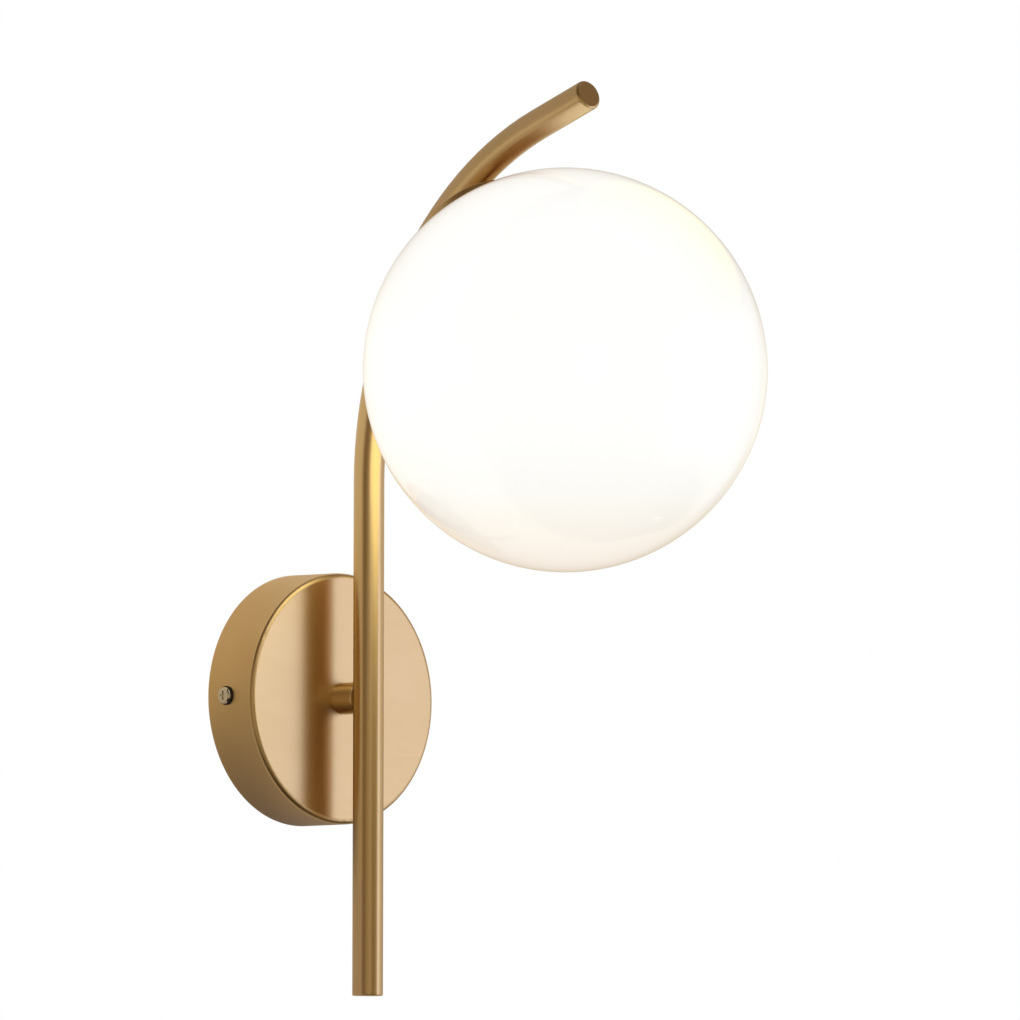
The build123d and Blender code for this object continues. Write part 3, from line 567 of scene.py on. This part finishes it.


# Each black ring is painted shade: it stands for the dark shade round a proud screw head on the drum.
shade_rings = both_sides(shade_ring_on_one_side(), "side_screw_shade_rings")
shade_rings.data.materials.clear()
shade_rings.data.materials.append(moulded("black ring, painted shade", "#0E0D0D", "#191716", 0.5 * MM, 0.6, 0.6))
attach(shade_rings, "fixture")
print("side screw shade rings with", len(shade_rings.data.polygons), "faces")

# %% [markdown]
# ## Studio
# The picture's background is plain white, so rays from the camera see a white world. Metal needs
# something to reflect: rays that a glossy surface sends out see a room with a bright band to the
# right of the light, warm grey tones round the rest, and a dim floor and ceiling. Matt things get
# even light from the world, at three quarters of that white.

# %% World
room_tones = (      # compass angle from straight ahead towards +X, and the tone of the room there
    (-180, (0.45, 0.38, 0.28)),
    (-96, (0.46, 0.38, 0.29)),
    (-82, (0.28, 0.21, 0.13)),
    (-68, (0.27, 0.20, 0.11)),
    (-58, (0.42, 0.33, 0.21)),
    (-24, (0.56, 0.46, 0.31)),
    (-10, (0.30, 0.23, 0.13)),
    (4, (0.32, 0.25, 0.14)),
    (20, (0.44, 0.36, 0.24)),
    (29, (0.66, 0.58, 0.48)),
    (37, (1.28, 1.33, 1.62)),
    (50, (1.28, 1.33, 1.64)),
    (60, (0.78, 0.70, 0.60)),
    (74, (0.74, 0.69, 0.62)),
    (92, (0.55, 0.50, 0.45)),
    (180, (0.45, 0.38, 0.28)))
level_tones = (     # angle above the horizon, and what it makes of the room's tone
    (-90, (0.05, 0.04, 0.03)),
    (-46, (0.06, 0.05, 0.04)),
    (-34, (0.25, 0.23, 0.20)),
    (-24, (1.00, 1.00, 1.00)),
    (12, (1.00, 1.00, 1.00)),
    (24, (0.24, 0.17, 0.10)),
    (42, (0.26, 0.19, 0.12)),
    (60, (0.32, 0.28, 0.25)),
    (90, (0.32, 0.28, 0.25)))
degree = pi / 180
matt_light = 0.75   # strength of the even light on matt things
world = bpy.data.worlds.new("studio")
bpy.context.scene.world = world
world.use_nodes = True
sky = world.node_tree
sky.nodes.clear()

direction = add(sky, "TexCoord").outputs["Generated"]
axes = add(sky, "SeparateXYZ", {0: direction})
ahead = add(sky, "Math", {0: axes.outputs["Y"], 1: -1.0}, operation="MULTIPLY")
compass = add(sky, "Math", {0: axes.outputs["X"], 1: ahead.outputs[0]}, operation="ARCTAN2")
climb = add(sky, "Math", {0: axes.outputs["Z"]}, operation="ARCSINE")
around_room = tone_ramp(sky, compass.outputs[0], room_tones, degree)
up_room = tone_ramp(sky, climb.outputs[0], level_tones, degree)
room = add(sky, "VectorMath", {0: around_room, 1: up_room}, operation="MULTIPLY")
white = add(sky, "Background", {"Color": (1, 1, 1, 1), "Strength": 1.0})
even = add(sky, "Background", {"Color": (1, 1, 1, 1), "Strength": matt_light})
reflected = add(sky, "Background", {"Color": room.outputs[0], "Strength": 1.0})
rays = add(sky, "LightPath")
seen = add(sky, "Math", {0: rays.outputs["Is Camera Ray"], 1: rays.outputs["Is Transmission Ray"]},
           operation="MAXIMUM")
not_seen = add(sky, "MixShader", {0: rays.outputs["Is Glossy Ray"], 1: even.outputs[0],
                                  2: reflected.outputs[0]})
everything = add(sky, "MixShader", {0: seen.outputs[0], 1: not_seen.outputs[0], 2: white.outputs[0]})
add(sky, "OutputWorld", {"Surface": everything.outputs[0]})
print("world with", len(room_tones), "room tones")


# %% [markdown]
# ## Softbox
# One large softbox stands to the right, in front of the wall, and lights the matt pieces. It is
# never seen itself, neither by the camera nor in the brass: there the room's bright band, which
# lies in the same direction, stands for it.

# %% Softbox
softbox_place = (1.06, -1.06, 0.3)
softbox_aim = (0, 0, 0.05)
softbox_side = 1.5
softbox_radiance = 0.6


def softbox(name, place, aim, width, height, radiance):
    """A soft rectangular lamp that is never seen itself."""
    data = bpy.data.lights.new(name, "AREA")
    data.shape = "RECTANGLE"
    data.size = width
    data.size_y = height
    data.energy = radiance * pi * width * height
    lamp = bpy.data.objects.new(name, data)
    bpy.context.scene.collection.objects.link(lamp)
    lamp.location = place
    lamp.rotation_euler = (Vector(place) - Vector(aim)).to_track_quat("Z", "Y").to_euler()
    lamp.visible_camera = False
    lamp.visible_glossy = False
    return lamp


softbox("softbox", softbox_place, softbox_aim, softbox_side, softbox_side, softbox_radiance)
print("softbox at", round((Vector(softbox_place) - Vector(softbox_aim)).length, 1), "m")

# %% [markdown]
# ## Wall card and floor
# The wall that the light hangs on is a card that only reflections see, so it darkens and warms the brass
# beside it without filling the picture. Its tones are painted light and shade: the wall is lighter near the
# globe's height, where the globe lights it, and has a set of tones of its own beside the drum, with the
# drum's painted shadow below it. The floor lies below the light and shows in no reflection.

# %% Wall card and floor
wall_reach = 0.7
wall_behind = 1 * MM
wall_middle = 50 * MM
floor_radius = 3.0
floor_level = -0.32
wall_light_and_shadow_near = (     # height in millimetres, and the painted light and shade on the wall beside the drum, with the drum's painted shadow below it
    (-160, (0.40, 0.34, 0.28)),
    (-64, (0.20, 0.17, 0.16)),
    (-38, (0.31, 0.25, 0.19)),
    (-20, (0.42, 0.34, 0.24)),
    (0, (0.53, 0.43, 0.28)),
    (25, (0.65, 0.52, 0.35)),
    (54, (0.68, 0.54, 0.37)),
    (200, (0.70, 0.60, 0.46)))
wall_light_and_shade_far = (     # the same painted light and shade further out
    (-160, (0.43, 0.36, 0.30)),
    (-20, (0.42, 0.34, 0.24)),
    (40, (0.50, 0.40, 0.26)),
    (90, (0.68, 0.60, 0.46)),
    (190, (0.70, 0.63, 0.50)),
    (260, (0.48, 0.41, 0.33)),
    (420, (0.44, 0.37, 0.29)))
shade_inner = 70 * MM
shade_outer = 105 * MM
bpy.ops.mesh.primitive_plane_add(size=2 * wall_reach, location=(0, wall_behind, wall_middle),
                                 rotation=(pi / 2, 0, 0))
bpy.ops.object.transform_apply()
wall = bpy.context.object
wall.name = "wall_card"
wall_material, wall_tree, wall_place = new_material("wall card, painted light and shade")
# The card's tones are painted light and shade: lighter where the globe lights the wall, darker in the drum's
# shadow below it.
wall_height = add(wall_tree, "SeparateXYZ", {0: wall_place}).outputs["Z"]
wall_radius = add(wall_tree, "VectorMath", {0: wall_place}, operation="LENGTH").outputs["Value"]
far_share = add(wall_tree, "MapRange", {"Value": wall_radius, "From Min": shade_inner,
                                        "From Max": shade_outer})
near_glow = add(wall_tree, "Emission", {"Color": tone_ramp(wall_tree, wall_height, wall_light_and_shadow_near, MM)})
far_glow = add(wall_tree, "Emission", {"Color": tone_ramp(wall_tree, wall_height, wall_light_and_shade_far, MM)})
wall_glow = add(wall_tree, "MixShader", {0: far_share.outputs[0], 1: near_glow.outputs[0],
                                         2: far_glow.outputs[0]})
nothing = add(wall_tree, "BsdfTransparent")
wall_rays = add(wall_tree, "LightPath")
wall_mix = add(wall_tree, "MixShader", {0: wall_rays.outputs["Is Glossy Ray"], 1: nothing.outputs[0],
                                        2: wall_glow.outputs[0]})
add(wall_tree, "OutputMaterial", {"Surface": wall_mix.outputs[0]})
wall.data.materials.append(wall_material)

bpy.ops.mesh.primitive_circle_add(vertices=96, radius=floor_radius, fill_type="NGON",
                                  location=(0, 0, floor_level))
floor = bpy.context.object
floor.name = "floor"
floor.data.materials.append(moulded("pale floor, matt", "#EFEDE8", "#F4F2EE", 20 * MM, 0.85, 0.1))
floor.visible_glossy = False        # the room's own low tones stand for it in the brass
print("wall card", 2 * wall_reach, "m wide, floor at", floor_level, "m")
